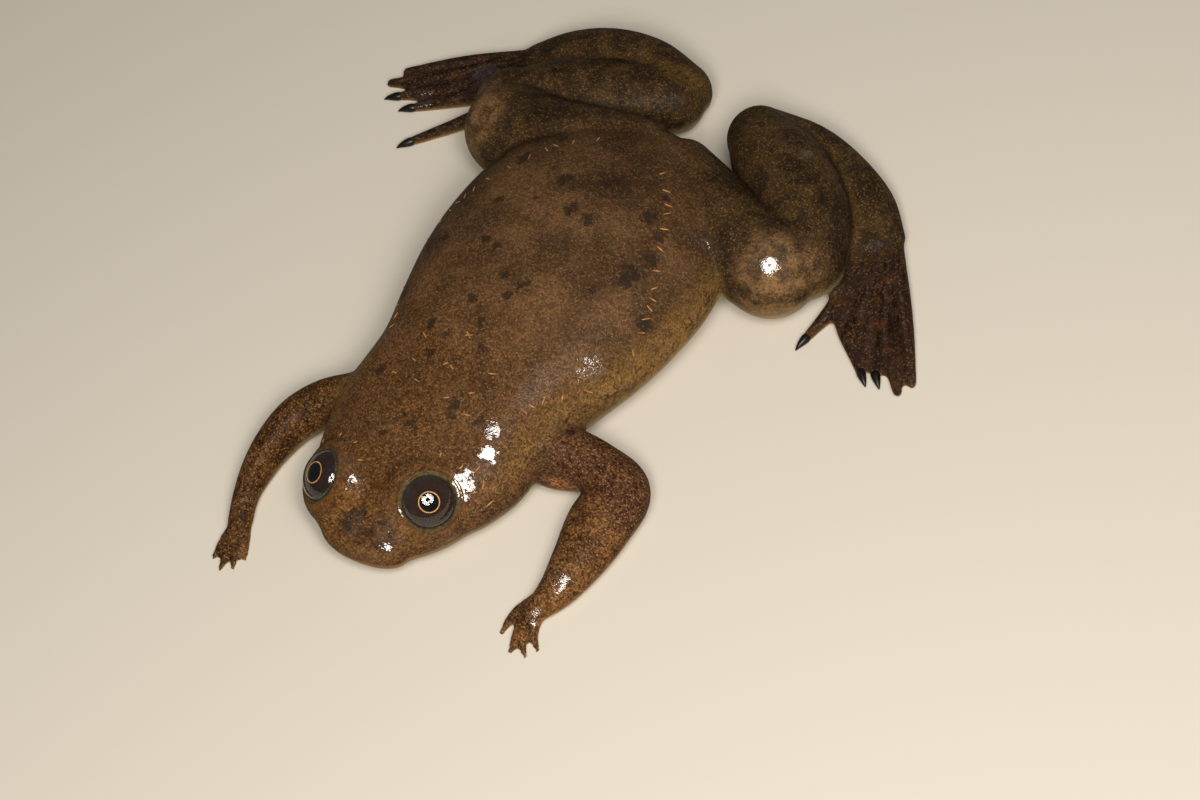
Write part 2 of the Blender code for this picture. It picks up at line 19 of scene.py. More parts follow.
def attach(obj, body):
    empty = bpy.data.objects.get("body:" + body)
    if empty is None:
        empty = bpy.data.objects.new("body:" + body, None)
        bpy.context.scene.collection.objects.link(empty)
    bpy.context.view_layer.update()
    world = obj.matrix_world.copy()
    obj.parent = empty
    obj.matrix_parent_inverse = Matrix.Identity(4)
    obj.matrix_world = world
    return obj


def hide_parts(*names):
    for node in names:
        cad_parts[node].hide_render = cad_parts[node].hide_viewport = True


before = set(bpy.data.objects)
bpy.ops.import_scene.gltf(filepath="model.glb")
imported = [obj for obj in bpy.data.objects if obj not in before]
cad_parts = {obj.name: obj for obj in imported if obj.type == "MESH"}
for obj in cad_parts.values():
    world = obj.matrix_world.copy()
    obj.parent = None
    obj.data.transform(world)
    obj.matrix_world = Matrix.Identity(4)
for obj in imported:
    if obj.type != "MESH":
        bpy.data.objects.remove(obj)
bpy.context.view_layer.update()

# %% [markdown]
# ## The view
# The frog is seen from above its left front, 55 degrees above the floor, through a long lens that is
# turned a little. A camera is easiest to set from three directions: the one back towards it, the one to
# the picture's right, and the one to the picture's top. The plain colour transform keeps dark skin dark
# and lets its highlights burn out to white, as in any photograph of wet skin.

# %% Camera
mm = 0.001
scene = bpy.context.scene
turned, raised, rolled = math.radians(53.7), math.radians(55), math.radians(18.4)
back = Vector((math.sin(turned) * math.cos(raised), -math.cos(turned) * math.cos(raised), math.sin(raised)))
level = Vector((math.cos(turned), math.sin(turned), 0))
upright = back.cross(level)
to_right = level * math.cos(rolled) - upright * math.sin(rolled)
to_top = level * math.sin(rolled) + upright * math.cos(rolled)
camera = bpy.data.objects.new("camera", bpy.data.cameras.new("camera"))
scene.collection.objects.link(camera)
camera.data.lens = 100
camera.data.sensor_width = 36
camera.data.clip_start = 0.01
aim, camera_distance = Vector((13, 0, 0)) * mm, 480
facing_frog = Matrix((to_right, to_top, back)).transposed().to_4x4()
camera.matrix_world = Matrix.Translation(aim + back * camera_distance * mm) @ facing_frog
scene.camera = camera
scene.view_settings.view_transform = "Standard"
print("camera at, mm:", [round(c / mm) for c in camera.matrix_world.translation])

# %% [markdown]
# ## Floor and light
# A pale floor and soft light show the whole animal. Wet skin is told by its highlights, so most of the
# light comes from a ring of small lamps round the lens, in two arcs: each bulge of the frog shows it as a
# broken ring. The large soft lamp overhead only lifts the shadows. It is kept out of the reflections,
# where it would lie over the back like a grey film. The floor is a matt studio board: it takes a soft
# shadow and mirrors nothing.

# %% Floor
def to_linear(text):
    """An sRGB colour written as six hex digits, as the linear colour that a shader wants."""
    shares = [int(text[i : i + 2], 16) / 255 for i in (0, 2, 4)]
    return tuple(s / 12.92 if s <= 0.04045 else ((s + 0.055) / 1.055) ** 2.4 for s in shares) + (1.0,)


def new_material(name):
    """A material, its node tree and its shader."""
    material = bpy.data.materials.new(name)
    material.use_nodes = True
    return material, material.node_tree, material.node_tree.nodes["Principled BSDF"]


def plain_material(name, colour, roughness):
    """A material of one colour, for the floor or to build a pattern on."""
    material, _, shader = new_material(name)
    shader.inputs["Base Color"].default_value = to_linear(colour)
    shader.inputs["Roughness"].default_value = roughness
    return material


bpy.ops.mesh.primitive_plane_add(size=6.0)
floor = bpy.context.object
floor.name = "floor"
floor.data.materials.append(plain_material("pale studio floor", "b9b2a6", 0.9))

# %% Lamps
def lamp(name, away, distance, size, watts, along=None):
    """A flat lamp that looks at the frog from a distance in mm, its long side lying along a direction."""
    away = away.normalized()
    along = (along or Vector((0, 0, 1)).cross(away)).normalized()
    light = bpy.data.objects.new(name, bpy.data.lights.new(name, "AREA"))
    light.data.shape = "RECTANGLE"
    light.data.size, light.data.size_y = size[0] * mm, size[1] * mm
    light.data.energy = watts
    light.data.color = to_linear("fffaf2")[:3]
    placed = Matrix((along, away.cross(along), away)).transposed().to_4x4()
    light.matrix_world = Matrix.Translation(aim + away * distance * mm) @ placed
    scene.collection.objects.link(light)
    return light


ring_distance, ring_opening = 430, math.radians(11.5)
ring_lamp_size, ring_lamp_watts = (62, 90), 0.27
arc_middles, lamps_on_arc = (35, 215), (-60, -30, 0, 30, 60)  # degrees round the lens
for middle in arc_middles:
    for offset in lamps_on_arc:
        turn = math.radians(middle + offset)
        outwards = to_right * math.cos(turn) + to_top * math.sin(turn)
        away = back * math.cos(ring_opening) + outwards * math.sin(ring_opening)
        name = f"ring_{middle + offset}"
        lamp(name, away, ring_distance, ring_lamp_size, ring_lamp_watts, back.cross(outwards))
overhead = lamp("soft_overhead", Vector((0.7, -0.2, 1)), 700, (500, 500), 1.1)
overhead.visible_glossy = False
world = bpy.data.worlds.new("studio")
scene.world = world
world.use_nodes = True
background = world.node_tree.nodes["Background"]
background.inputs["Color"].default_value = to_linear("dfe2e6")
background.inputs["Strength"].default_value = 0.15

# %% [markdown]
# ## Forms drawn out along a path
# A frog's body, its limbs and its toes are all soft tubes whose width and depth change smoothly from end
# to end. Such a form could be a curve with a taper, but a curve's section is round, and a frog is broader
# than it is deep. So a sphere is drawn out instead: each of its rings is moved to its place along the
# path and given that place's half width, rise and drop. The poles become the rounded ends, and the form
# is closed from the start.

# %% Smooth reading of a table
def flowing(knots, rows, at):
    """Rows of numbers given at knots, read smoothly at other places by a cubic through them."""
    knots, rows, at = np.asarray(knots, float), np.asarray(rows, float), np.asarray(at, float)
    slopes = np.gradient(rows, knots, axis=0)
    left = np.clip(np.searchsorted(knots, at, side="right") - 1, 0, len(knots) - 2)
    span = (knots[left + 1] - knots[left])[:, None]
    u = ((at - knots[left])[:, None]) / span
    start = (2 * u**3 - 3 * u**2 + 1) * rows[left] + (u**3 - 2 * u**2 + u) * span * slopes[left]
    end = (3 * u**2 - 2 * u**3) * rows[left + 1] + (u**3 - u**2) * span * slopes[left + 1]
    return start + end


def distances(points):
    """How far along a path each of its points lies."""
    steps = np.linalg.norm(np.diff(np.asarray(points, float), axis=0), axis=1)
    return np.concatenate([[0.0], np.cumsum(steps)])


# %% A sphere drawn out along a path
def unit(rows):
    return rows / np.linalg.norm(rows, axis=1, keepdims=True)


def drawn_out(stations, caps, around=48, rings=90, square=(2.0, 2.0)):
    """A bmesh of one form. A station is x, y, z, half width, rise and, if it differs, drop, all in mm.

    The caps are how far the rounded ends reach past the first and last station. Square is how boxy the
    section is above and below: 2 is an ellipse.
    """
    crowding = 0.12  # brings the rings closer together at the ends
    step = 0.2  # mm along the path, over which its direction is read
    rows = np.array([row if len(row) == 6 else (*row, row[4]) for row in stations], float)
    knots = distances(rows[:, :3])
    builder = bmesh.new()
    bmesh.ops.create_uvsphere(builder, u_segments=around, v_segments=rings, radius=1.0)
    sphere = np.array([v.co for v in builder.verts])
    share = np.arccos(np.clip(sphere[:, 2], -1, 1)) / math.pi
    share -= crowding * np.sin(2 * math.pi * share)
    along = (knots[-1] + caps[0] + caps[1]) * share - caps[0]
    inside = np.clip(along, 0, knots[-1])
    middle = flowing(knots, rows[:, :3], inside)
    wide, rise, drop = flowing(knots, rows[:, 3:], inside).T
    ahead = flowing(knots, rows[:, :3], np.minimum(inside + step, knots[-1]))
    behind = flowing(knots, rows[:, :3], np.maximum(inside - step, 0.0))
    forwards = unit(ahead - behind)
    sideways = unit(np.cross((0, 0, 1), forwards))
    beyond = along - inside
    shrink = np.sqrt(np.clip(1 - (beyond / np.where(beyond < 0, *caps)) ** 2, 0, 1))
    turn = np.arctan2(sphere[:, 1], sphere[:, 0])
    above = np.sin(turn) >= 0
    power = 2 / np.where(above, *square)
    across = np.sign(np.cos(turn)) * np.abs(np.cos(turn)) ** power * wide * shrink
    height = np.abs(np.sin(turn)) ** power * np.where(above, rise, -drop) * shrink
    places = middle + forwards * beyond[:, None] + sideways * across[:, None]
    places += np.cross(forwards, sideways) * height[:, None]
    for vertex, place in zip(builder.verts, places * mm):
        vertex.co = place
    if builder.calc_volume(signed=True) < 0:
        bmesh.ops.reverse_faces(builder, faces=builder.faces)
    return builder


forms = {}


def keep_form(group, builder):
    """Adds a form to its group: the groups later tell the skin's colours apart."""
    mesh = bpy.data.meshes.new(group)
    builder.to_mesh(mesh)
    builder.free()
    forms.setdefault(group, []).append(mesh)


# %% [markdown]
# ## The body and head
# An african clawed frog is flat and pear shaped: a small wedge of a head with a blunt snout, no neck to
# speak of, the widest place well behind the middle, and a rump that ends between the thighs. The table
# gives its sections from snout to rump, and the spine turns to the frog's left in front of the neck.

# %% Body
# The spine: along the body, and across it
spine_line = ((-41.3, 2.2), (-38, 1.5), (-33, 0.65), (-28.5, 0.1), (-24, 0), (-18, 0), (38.4, 0))
# Distance behind the snout, half width, height of the middle, rise, drop
body_sections = (
    (2.8, 6.9, 4.3, 3.7, 3.3),
    (4.8, 9.1, 4.5, 4.9, 3.9),
    (7.6, 11.4, 4.7, 6.2, 4.6),
    (11.6, 13.5, 5.0, 7.3, 5.3),
    (16.1, 15.4, 5.4, 8.0, 5.9),
    (20.1, 16.4, 5.8, 8.5, 6.4),
    (24.6, 16.4, 6.4, 9.1, 6.9),
    (30.1, 16.5, 7.0, 9.8, 7.4),
    (36.8, 18.4, 7.6, 10.8, 8.1),
    (43.8, 20.3, 8.0, 11.6, 8.6),
    (51.8, 21.3, 8.3, 12.0, 9.0),
    (59.8, 21.0, 8.4, 11.4, 9.0),
    (66.8, 18.8, 8.4, 9.9, 8.6),
    (71.8, 15.2, 8.2, 8.0, 7.6),
    (75.8, 10.6, 8.0, 5.8, 5.8),
)


def spine(behind_snout):
    """The place of the spine in plan and the way forwards there, at a distance behind the snout."""
    table = np.array(spine_line)
    y = table[0, 0] + behind_snout
    x, behind = flowing(table[:, 0], table[:, 1:], [y, y + 0.5])[:, 0]
    return Vector((x, y, 0)), Vector((x - behind, -0.5, 0)).normalized()


def head_point(behind_snout, aside, height):
    """A place in the turned head, in mm: aside is towards the frog's left."""
    middle, forwards = spine(behind_snout)
    return middle + Vector((-forwards.y, forwards.x, 0)) * aside + Vector((0, 0, height))


body_stations = [(*spine(s[0])[0].xy, s[2], s[1], s[3], s[4]) for s in body_sections]
keep_form("body", drawn_out(body_stations, (2.8, 4.0), around=96, rings=160, square=(2.2, 2.5)))
print("body half width, mm:", max(s[1] for s in body_sections))

# %% [markdown]
# ## The eyes' places
# The eyes sit on the top of the head and look up, a little outwards and forwards. An eyeball is wider
# than it is thick, and it stands in a low mound of flesh, one more flattened ball in the fused form. The
# opening between the lids is a circle, and its middle and the way it faces place everything else of the
# eye. A small ball fills the hollow that is left between the right eye and the snout.

# %% Eye mounds
eye_radius, eye_bulge, lid_plane = 3.9, 2.8, 0.9
mound_depth, mound_radius, mound_bulge = 3.2, 6.6, 4.2
snout_fill, snout_fill_radius = (-3.9, -37.3, 5.6), 3.3
# The middle of each opening: 1 is the frog's left side, -1 its right
lids = {1: Vector((8.9, -30.5, 10.8)), -1: Vector((-7.8, -35.2, 10.2))}


def eye_looks(side):
    """The way an eye looks: up, outwards and a little forwards."""
    _, forwards = spine(lids[side].y - spine_line[0][0])
    left = Vector((-forwards.y, forwards.x, 0))
    return (left * 0.52 * side + Vector((0, 0, 0.76)) + forwards * 0.38).normalized()


def eye_matrix(side, depth=0.0):
    """Places a piece made round its own z axis so that z is the way the eye looks."""
    looks = eye_looks(side)
    facing = looks.to_track_quat("Z", "Y").to_matrix().to_4x4()
    return Matrix.Translation((lids[side] - looks * depth) * mm) @ facing


def flat_ball(side, depth, radius, bulge, around=64, rings=40):
    """A flattened ball on an eye's axis, its middle at a depth under the lids' opening."""
    builder = bmesh.new()
    bmesh.ops.create_uvsphere(builder, u_segments=around, v_segments=rings, radius=mm)
    bmesh.ops.scale(builder, verts=builder.verts, vec=(radius, radius, bulge))
    bmesh.ops.transform(builder, verts=builder.verts, matrix=eye_matrix(side, depth))
    return builder


def ball(centre, radius, around=48, rings=32):
    builder = bmesh.new()
    bmesh.ops.create_uvsphere(builder, u_segments=around, v_segments=rings, radius=radius * mm)
    bmesh.ops.translate(builder, verts=builder.verts, vec=Vector(centre) * mm)
    return builder


for side in lids:
    keep_form("body", flat_ball(side, mound_depth, mound_radius, mound_bulge))
keep_form("body", ball(snout_fill, snout_fill_radius))
print("eyes look up by, degrees:", [round(math.degrees(math.asin(eye_looks(side).z))) for side in lids])

# %% [markdown]
# ## The limbs
# The hind legs are the engine of this swimmer: thick thighs and shanks folded flat together, the long
# ankle lying along behind them, and a paddle of a foot. The forelimbs are slim, with four plain fingers
# and no web, and a fold of skin shows in the left armpit. The right leg is folded a little otherwise, so
# its shank and ankle have their own sections.

# %% Hind legs
thigh = (
    (3.0, 34.2, 8.2, 5.4, 6.0, 6.8),
    (10.0, 31.4, 8.2, 6.3, 7.2, 8.1),
    (17.5, 28.4, 8.0, 7.0, 7.6, 8.3),
    (24.2, 27.8, 7.6, 7.2, 7.5, 8.0),
)
shank = (
    (28.2, 31.6, 6.6, 5.4, 6.4),
    (23.8, 37.2, 6.6, 6.6, 6.9),
    (17.5, 41.8, 6.4, 7.0, 7.0),
    (11.5, 44.8, 5.9, 6.2, 6.3),
    (7.8, 46.9, 5.2, 5.0, 5.4),
)
tarsus = (
    (8.0, 49.4, 4.0, 3.4, 4.2),
    (15.0, 50.3, 3.9, 3.4, 4.0),
    (22.4, 48.8, 3.6, 3.6, 3.7),
    (27.6, 46.2, 3.0, 4.2, 3.1),
    (31.8, 42.0, 2.3, 4.7, 2.5),
)
shank_right = (
    (-28.2, 31.0, 6.2, 5.2, 5.8),
    (-23.8, 36.2, 6.0, 6.0, 5.9),
    (-17.5, 40.6, 5.8, 6.1, 5.7),
    (-11.5, 43.8, 5.5, 5.6, 5.3),
    (-7.8, 46.2, 5.0, 4.8, 4.9),
)
tarsus_right = (
    (-8.0, 49.0, 4.6, 3.8, 4.9),
    (-15.0, 49.8, 4.6, 4.2, 5.0),
    (-22.4, 48.4, 4.3, 4.2, 4.6),
    (-27.6, 46.0, 3.4, 4.4, 3.6),
    (-31.8, 42.0, 2.3, 4.7, 2.5),
)
knee, knee_radius = Vector((27.4, 31.6, 7.2)), 6.0
thigh_right = tuple((-row[0], *row[1:]) for row in thigh)
for rows in (thigh, thigh_right):
    keep_form("thigh", drawn_out(rows, (4.0, 7.4)))
for rows in (shank, shank_right):
    keep_form("shank", drawn_out(rows, (3.6, 4.6)))
for rows in (tarsus, tarsus_right):
    keep_form("tarsus", drawn_out(rows, (4.2, 3.0)))
for side in (1, -1):
    keep_form("thigh", ball((knee.x * side, knee.y, knee.z), knee_radius))

# %% Arms
arm_left = (
    (11.0, -12.8, 7.0, 4.4, 4.4),
    (16.5, -12.2, 5.9, 4.2, 4.2),
    (22.5, -11.2, 4.6, 3.9, 4.1),
    (27.0, -12.3, 4.0, 4.6, 4.0),
    (27.9, -18.0, 3.5, 4.8, 3.9),
    (28.7, -24.3, 2.9, 3.8, 3.3),
    (28.7, -29.2, 2.2, 2.7, 2.5),
    (27.8, -33.0, 1.5, 1.8, 1.5),
)
arm_right = (
    (-10.0, -17.4, 6.6, 4.0, 4.2),
    (-14.8, -20.8, 5.6, 3.6, 3.9),
    (-18.8, -23.8, 4.6, 3.4, 3.7),
    (-21.0, -27.6, 3.7, 3.2, 3.8),
    (-21.6, -32.2, 3.1, 2.8, 3.5),
    (-21.1, -37.2, 2.5, 2.3, 2.9),
    (-19.8, -41.4, 2.1, 1.9, 2.1),
    (-18.2, -44.6, 1.5, 1.9, 1.5),
)
armpit = (
    (14.4, -15.8, 4.6, 1.8, 1.8, 3.0),
    (17.6, -15.0, 4.0, 1.9, 1.8, 2.6),
    (20.8, -13.6, 3.6, 1.7, 1.7, 2.2),
)
fingers = (
    ((26.3, -31.0), (25.1, -34.5), (25.4, -38.0)),
    ((26.9, -33.4), (27.3, -36.5), (28.4, -39.6)),
    ((27.5, -34.0), (28.6, -37.1), (30.6, -38.9)),
    ((28.4, -33.6), (29.6, -35.7), (31.5, -37.2)),
    ((-17.6, -44.4), (-15.7, -46.6), (-13.9, -48.8)),
    ((-18.0, -44.9), (-16.3, -48.0), (-14.5, -50.9)),
    ((-18.3, -45.1), (-17.3, -48.7), (-16.0, -52.0)),
    ((-18.7, -44.8), (-18.7, -48.1), (-18.2, -51.0)),
)
finger_sizes = ((0.95, 0.95), (0.75, 0.75), (0.45, 0.5))


def digit(points, sizes):
    """Stations of a finger or toe, sunk a little into the floor, from three places in plan."""
    return [(x, y, high - 0.15, wide, high) for (x, y), (wide, high) in zip(points, sizes)]


for arm in (arm_left, arm_right):
    keep_form("arm", drawn_out(arm, (3.0, 1.6), rings=120))
for finger in fingers:
    keep_form("arm", drawn_out(digit(finger, finger_sizes), (0.8, 0.5), around=20, rings=40))
keep_form("fold", drawn_out(armpit, (1.2, 1.2), around=24, rings=30))

# %% [markdown]
# ## The webbed feet
# Five long toes carry a web almost to their tips, and the three inner ones end in black claws, which give
# the animal its name. The web is a thin flat sheet, filled inside a curve's outline, and the toes are
# ridges on it.

# %% Toes and web
toes = {
    1: (
        ((31.0, 38.6), (33.1, 30.2), (32.6, 24.2)),
        ((31.6, 40.0), (35.0, 29.4), (42.6, 23.4)),
        ((32.5, 41.0), (38.5, 29.6), (44.6, 24.2)),
        ((33.5, 42.0), (41.1, 31.0), (49.3, 23.2)),
        ((34.3, 43.0), (43.6, 33.2), (50.2, 25.4)),
    ),
    -1: (
        ((-31.0, 38.6), (-35.4, 29.8), (-41.4, 21.6)),
        ((-31.6, 40.0), (-38.0, 33.0), (-45.4, 26.8)),
        ((-32.5, 41.0), (-40.2, 34.0), (-48.8, 27.4)),
        ((-33.5, 42.0), (-42.2, 35.4), (-51.8, 28.6)),
        ((-34.3, 43.0), (-43.4, 37.4), (-51.0, 31.6)),
    ),
}
toe_sizes = ((1.7, 1.9), (1.2, 1.45), (0.75, 0.85))
web_height, web_sunk = 0.85, 0.4  # above the floor, and below it until the floor is cut
web_reach = (0.45, 0.93, 0.97, 0.99, 0.99)  # share of each toe's length
web_scallop = (0.50, 0.05, 0.06, 0.06)  # how far the edge hangs back between two toes


def web(foot):
    """The web of a foot: a flat sheet along its toes, whose edge hangs back a little between them."""
    shares = [np.linspace(0, reach, 12) for reach in web_reach]
    curves = [flowing((0.0, 0.5, 1.0), toe, share) for toe, share in zip(foot, shares)]
    outline = list(curves[0][:-1])
    for first, second, hang in zip(curves, curves[1:], web_scallop):
        middle = (first[-1] + second[-1]) / 2
        outline += [first[-1], middle + ((first[0] + second[0]) / 2 - middle) * hang]
    outline += list(curves[-1][::-1])
    curve = bpy.data.curves.new("web", "CURVE")
    curve.dimensions, curve.fill_mode = "2D", "BOTH"
    curve.extrude = (web_height + web_sunk) / 2 * mm
    line = curve.splines.new("POLY")
    line.points.add(len(outline) - 1)
    for point, (x, y) in zip(line.points, outline):
        point.co = (x * mm, y * mm, 0, 1)
    line.use_cyclic_u = True
    sheet = bpy.data.objects.new("web", curve)
    builder = bmesh.new()
    mesh = sheet.to_mesh()
    builder.from_mesh(mesh)
    sheet.to_mesh_clear()
    bpy.data.objects.remove(sheet)
    bmesh.ops.remove_doubles(builder, verts=builder.verts, dist=0.01 * mm)
    bmesh.ops.translate(builder, verts=builder.verts, vec=(0, 0, (web_height - web_sunk) / 2 * mm))
    return builder


for foot in toes.values():
    for toe in foot:
        keep_form("toe", drawn_out(digit(toe, toe_sizes), (1.0, 0.8), around=24, rings=60))
    keep_form("web", web(foot))
print("forms:", {group: len(meshes) for group, meshes in forms.items()})

# %% [markdown]
# ## One skin
# The forms overlap like clay rolls pushed together. A voxel remesh fuses them into one closed surface,
# and a few rounds of smoothing melt the seams where a limb meets the body. Boolean unions could join them
# too, but they would leave every seam sharp.

# %% Fuse the forms
def as_object(name, builder):
    mesh = bpy.data.meshes.new(name)
    builder.to_mesh(mesh)
    builder.free()
    piece = bpy.data.objects.new(name, mesh)
    scene.collection.objects.link(piece)
    return piece


def settled(piece):
    """The piece with its modifiers made part of its mesh."""
    graph = bpy.context.evaluated_depsgraph_get()
    mesh = bpy.data.meshes.new_from_object(piece.evaluated_get(graph))
    piece.modifiers.clear()
    piece.data = mesh
    return piece


def fuse(piece, voxel, rounds):
    """One closed surface on a grid of cubes, in mm, and some rounds of smoothing."""
    remesh = piece.modifiers.new("fuse", "REMESH")
    remesh.mode, remesh.voxel_size = "VOXEL", voxel * mm
    soften = piece.modifiers.new("soften", "SMOOTH")
    soften.factor, soften.iterations = 0.5, rounds
    return settled(piece)


clay = bmesh.new()
for meshes in forms.values():
    for mesh in meshes:
        clay.from_mesh(mesh)
skin = fuse(as_object("skin", clay), voxel=0.38, rounds=6)
print("fused faces:", len(skin.data.polygons))

# %% [markdown]
# ## Lids, floor and nostrils
# Cutters take away what the forms have too much: everything below the floor, the flesh above the lids,
# the sockets, and the two nostrils. A second remesh then rounds the cut edges, as skin is nowhere sharp.
# Its grid is as fine as a skin of under 200,000 triangles allows. Its grid is a little coarser than the
# first one's. The floor is cut last and stays flat.

# %% Cut
def cut(piece, builder):
    cutter = as_object("cutter", builder)
    boolean = piece.modifiers.new("cut", "BOOLEAN")
    boolean.operation, boolean.object, boolean.solver = "DIFFERENCE", cutter, "EXACT"
    settled(piece)
    bpy.data.objects.remove(cutter)


def slab(size, placed):
    builder = bmesh.new()
    bmesh.ops.create_cube(builder, size=1.0)
    bmesh.ops.scale(builder, verts=builder.verts, vec=Vector(size) * mm)
    bmesh.ops.transform(builder, verts=builder.verts, matrix=placed)
    return builder


nostrils = [head_point(2.8, 1.8 * side, 8.3) for side in (1, -1)]
for side in lids:
    # The slab's lower face lies in the lids' opening
    cut(skin, slab((11, 11, 6), eye_matrix(side, -3.0)))
    cut(skin, flat_ball(side, lid_plane, eye_radius - 0.05, eye_bulge - 0.05))
for nostril in nostrils:
    cut(skin, ball(nostril, 0.55, 16, 12))
skin = fuse(skin, voxel=0.42, rounds=1)
cut(skin, slab((160, 160, 20), Matrix.Translation((0, 0, -10 * mm))))
print("skin triangles:", sum(len(p.vertices) - 2 for p in skin.data.polygons))

# %% [markdown]
# ## Where is what
# The skin's colour differs between back, flank, belly, limbs and feet. Each vertex gets a number from 0
# to 1 for each of these places, found from the forms that it lies nearest to, from its own place or from
# the way it faces. The material reads them by name. Zones painted by hand would be lost whenever a form
# changes.

# %% Zones
points = np.empty(len(skin.data.vertices) * 3)
skin.data.vertices.foreach_get("co", points)
points = points.reshape(-1, 3)
normals = np.array([v.normal for v in skin.data.vertices])


def nearness(groups):
    """Distance in mm from each skin vertex to the forms of some groups."""
    sites = [v.co for group in groups for mesh in forms[group] for v in mesh.vertices]
    tree = KDTree(len(sites))
    for index, site in enumerate(sites):
        tree.insert(site, index)
    tree.balance()
    return np.array([tree.find(p)[2] for p in points]) / mm


def ramp(value, low, high):
    share = np.clip((value - low) / (high - low), 0, 1)
    return share * share * (3 - 2 * share)


def set_zone(name, values, piece=skin):
    """Keeps one number for each vertex, for a material to read by name."""
    attribute = piece.data.attributes.new(name, "FLOAT", "POINT")
    attribute.data.foreach_set("value", np.asarray(values, np.float32))


near = {group: nearness([group]) for group in forms if group != "fold"}
x, y, z = (points / mm).T
# Limbs, arms and feet, by which forms are nearest
legs = np.minimum.reduce([near["thigh"], near["shank"], near["tarsus"], near["toe"]])
limb = ramp(near["body"] - np.minimum(legs, near["arm"]), -0.6, 2.2)
arm_share = ramp(np.minimum(near["body"], near["thigh"]) - near["arm"], -0.4, 2.0)
to_paddle = np.minimum(near["toe"], near["web"])
foot_share = ramp(np.minimum(near["shank"], near["tarsus"]) - to_paddle, -1.0, 3.0) * (1 - arm_share)
set_zone("limb", limb)
set_zone("arm", arm_share)
set_zone("foot", foot_share)
# The low skin between the toes, the side that faces down, and the pale edge along the floor
set_zone("web", foot_share * ramp(near["toe"], 0.05, 0.7) * ramp(-z, -2.2, -1.2))
set_zone("belly", ramp(-normals[:, 2], 0.0, 0.6))
set_zone("margin", ramp(-z, -3.4, -1.0) * ramp(-normals[:, 2], -0.55, 0.1))
# The sides of the body, the sloping side of the head, and the right side and rump, where painted shade
# darkens the skin's colour
outwards = ramp(np.abs(x) - 10.0 - 0.10 * (y + 42), -1.0, 4.0)
set_zone("flank", outwards * ramp(-z, -15.5, -8.5) * (1 - limb))
cheek = ramp(-normals[:, 2], -0.85, -0.5) * ramp(-y, 10.0, 19.0) * (1 - limb)
set_zone("cheek", cheek * (0.25 + 0.75 * ramp(x, -2.0, 4.0)))
set_zone("far", np.maximum(ramp(-x, 11.0, 19.0), 0.8 * ramp(y, 6.0, 28.0)))
# The groove between shank and ankle, the front of the body, the snout, and small places on the limbs
between_two = np.abs(near["shank"] - near["tarsus"])
set_zone("seam", ramp(-between_two, -1.6, -0.3) * ramp(-near["tarsus"], -2.4, -1.2) * ramp(z, 1.5, 3.5))
set_zone("front", ramp(-y, -8.0, 22.0) * (1 - limb))
set_zone("snout", ramp(-y, 29.0, 38.0) * (1 - arm_share))
set_zone("upper_arm", ramp(y, -19.0, -14.0) * arm_share)
set_zone("knee", ramp(-np.hypot(np.abs(x) - 29.0, y - 24.5), -8.5, -3.0) * (1 - foot_share))
set_zone("fold", ramp(-nearness(["fold"]), -0.9, -0.2) * ramp(-z, -6.6, -5.0))
print("zones:", [a.name for a in skin.data.attributes if a.data_type == "FLOAT"])

# %% [markdown]
# ## Measures that draw fine lines
# A line thinner than the mesh's own grid can't be painted on vertices. But a distance can be stored on
# them, as it changes evenly from vertex to vertex, and the material then draws a sharp line wherever the
# distance has one value. The lips, the painted shade in the nostrils, the folds round the eyes and the
# dark spots are drawn this way.

# %% Distances to the lips, nostrils and eyes
lip_height = 3.5
set_zone("over_lips", np.where((y < -24.0) & (arm_share < 0.3), z - lip_height, 9.0))
to_nostril = np.min([np.linalg.norm(points / mm - np.array(n), axis=1) for n in nostrils], axis=0)
set_zone("to_nostril", np.minimum(to_nostril, 9.0))
to_eye = np.full(len(points), 20.0)
for side in lids:
    from_lids = points / mm - np.array(lids[side])
    depth = from_lids @ np.array(eye_looks(side))
    aside = np.linalg.norm(from_lids - depth[:, None] * np.array(eye_looks(side)), axis=1)
    to_eye = np.minimum(to_eye, np.where(np.abs(depth) < 5, aside, 20.0))
set_zone("to_eye", to_eye)

# %% [markdown]
# ## Standing water
# A film of water gathers on some bulges and leaves others only damp. Each place is a disc that fades
# from its middle to its edge, which the material frays. Steep skin sheds the water. "Swell" marks where
# the film is uneven, so that its highlight breaks up.

# %% Places where water stands on the skin, x, y and radius
def discs(places):
    """1 in the middle of a disc and 0 at its edge, of whichever disc is nearest, and never under -1."""
    nearest = np.full(len(points), -1.0)
    for across, along, radius in places:
        nearest = np.maximum(nearest, 1 - np.hypot(x - across, y - along) / radius)
    return nearest


puddles = (
    (17.4, -2.6, 2.6), (10.4, -17.6, 1.7), (11.8, -20.4, 1.5), (11.6, -25.6, 1.9), (6.0, -36.7, 3.0),
    (0.5, -38.2, 2.4), (-4.0, -33.6, 3.0), (27.8, 25.5, 4.4), (19.4, 44.0, 1.3), (28.9, -28.1, 2.2),
    (28.8, -33.7, 1.6), (16.6, 22.7, 1.6), (-44.0, 28.0, 2.2), (-38.5, 36.5, 3.0),
)
set_zone("wet", discs(puddles) - 2 * ramp(-normals[:, 2], -0.6, -0.35))
set_zone("swell", np.maximum(ramp(-y, 32.0, 36.0), ramp(-np.hypot(x + 4.0, y + 33.6), -4.5, -2.5)))

# %% [markdown]
# ## Dark spots
# Black pigment cells crowd into spots. A noise scatters patches anywhere, but a real back has spots of
# its own, larger in its rear half, so these are listed one by one.

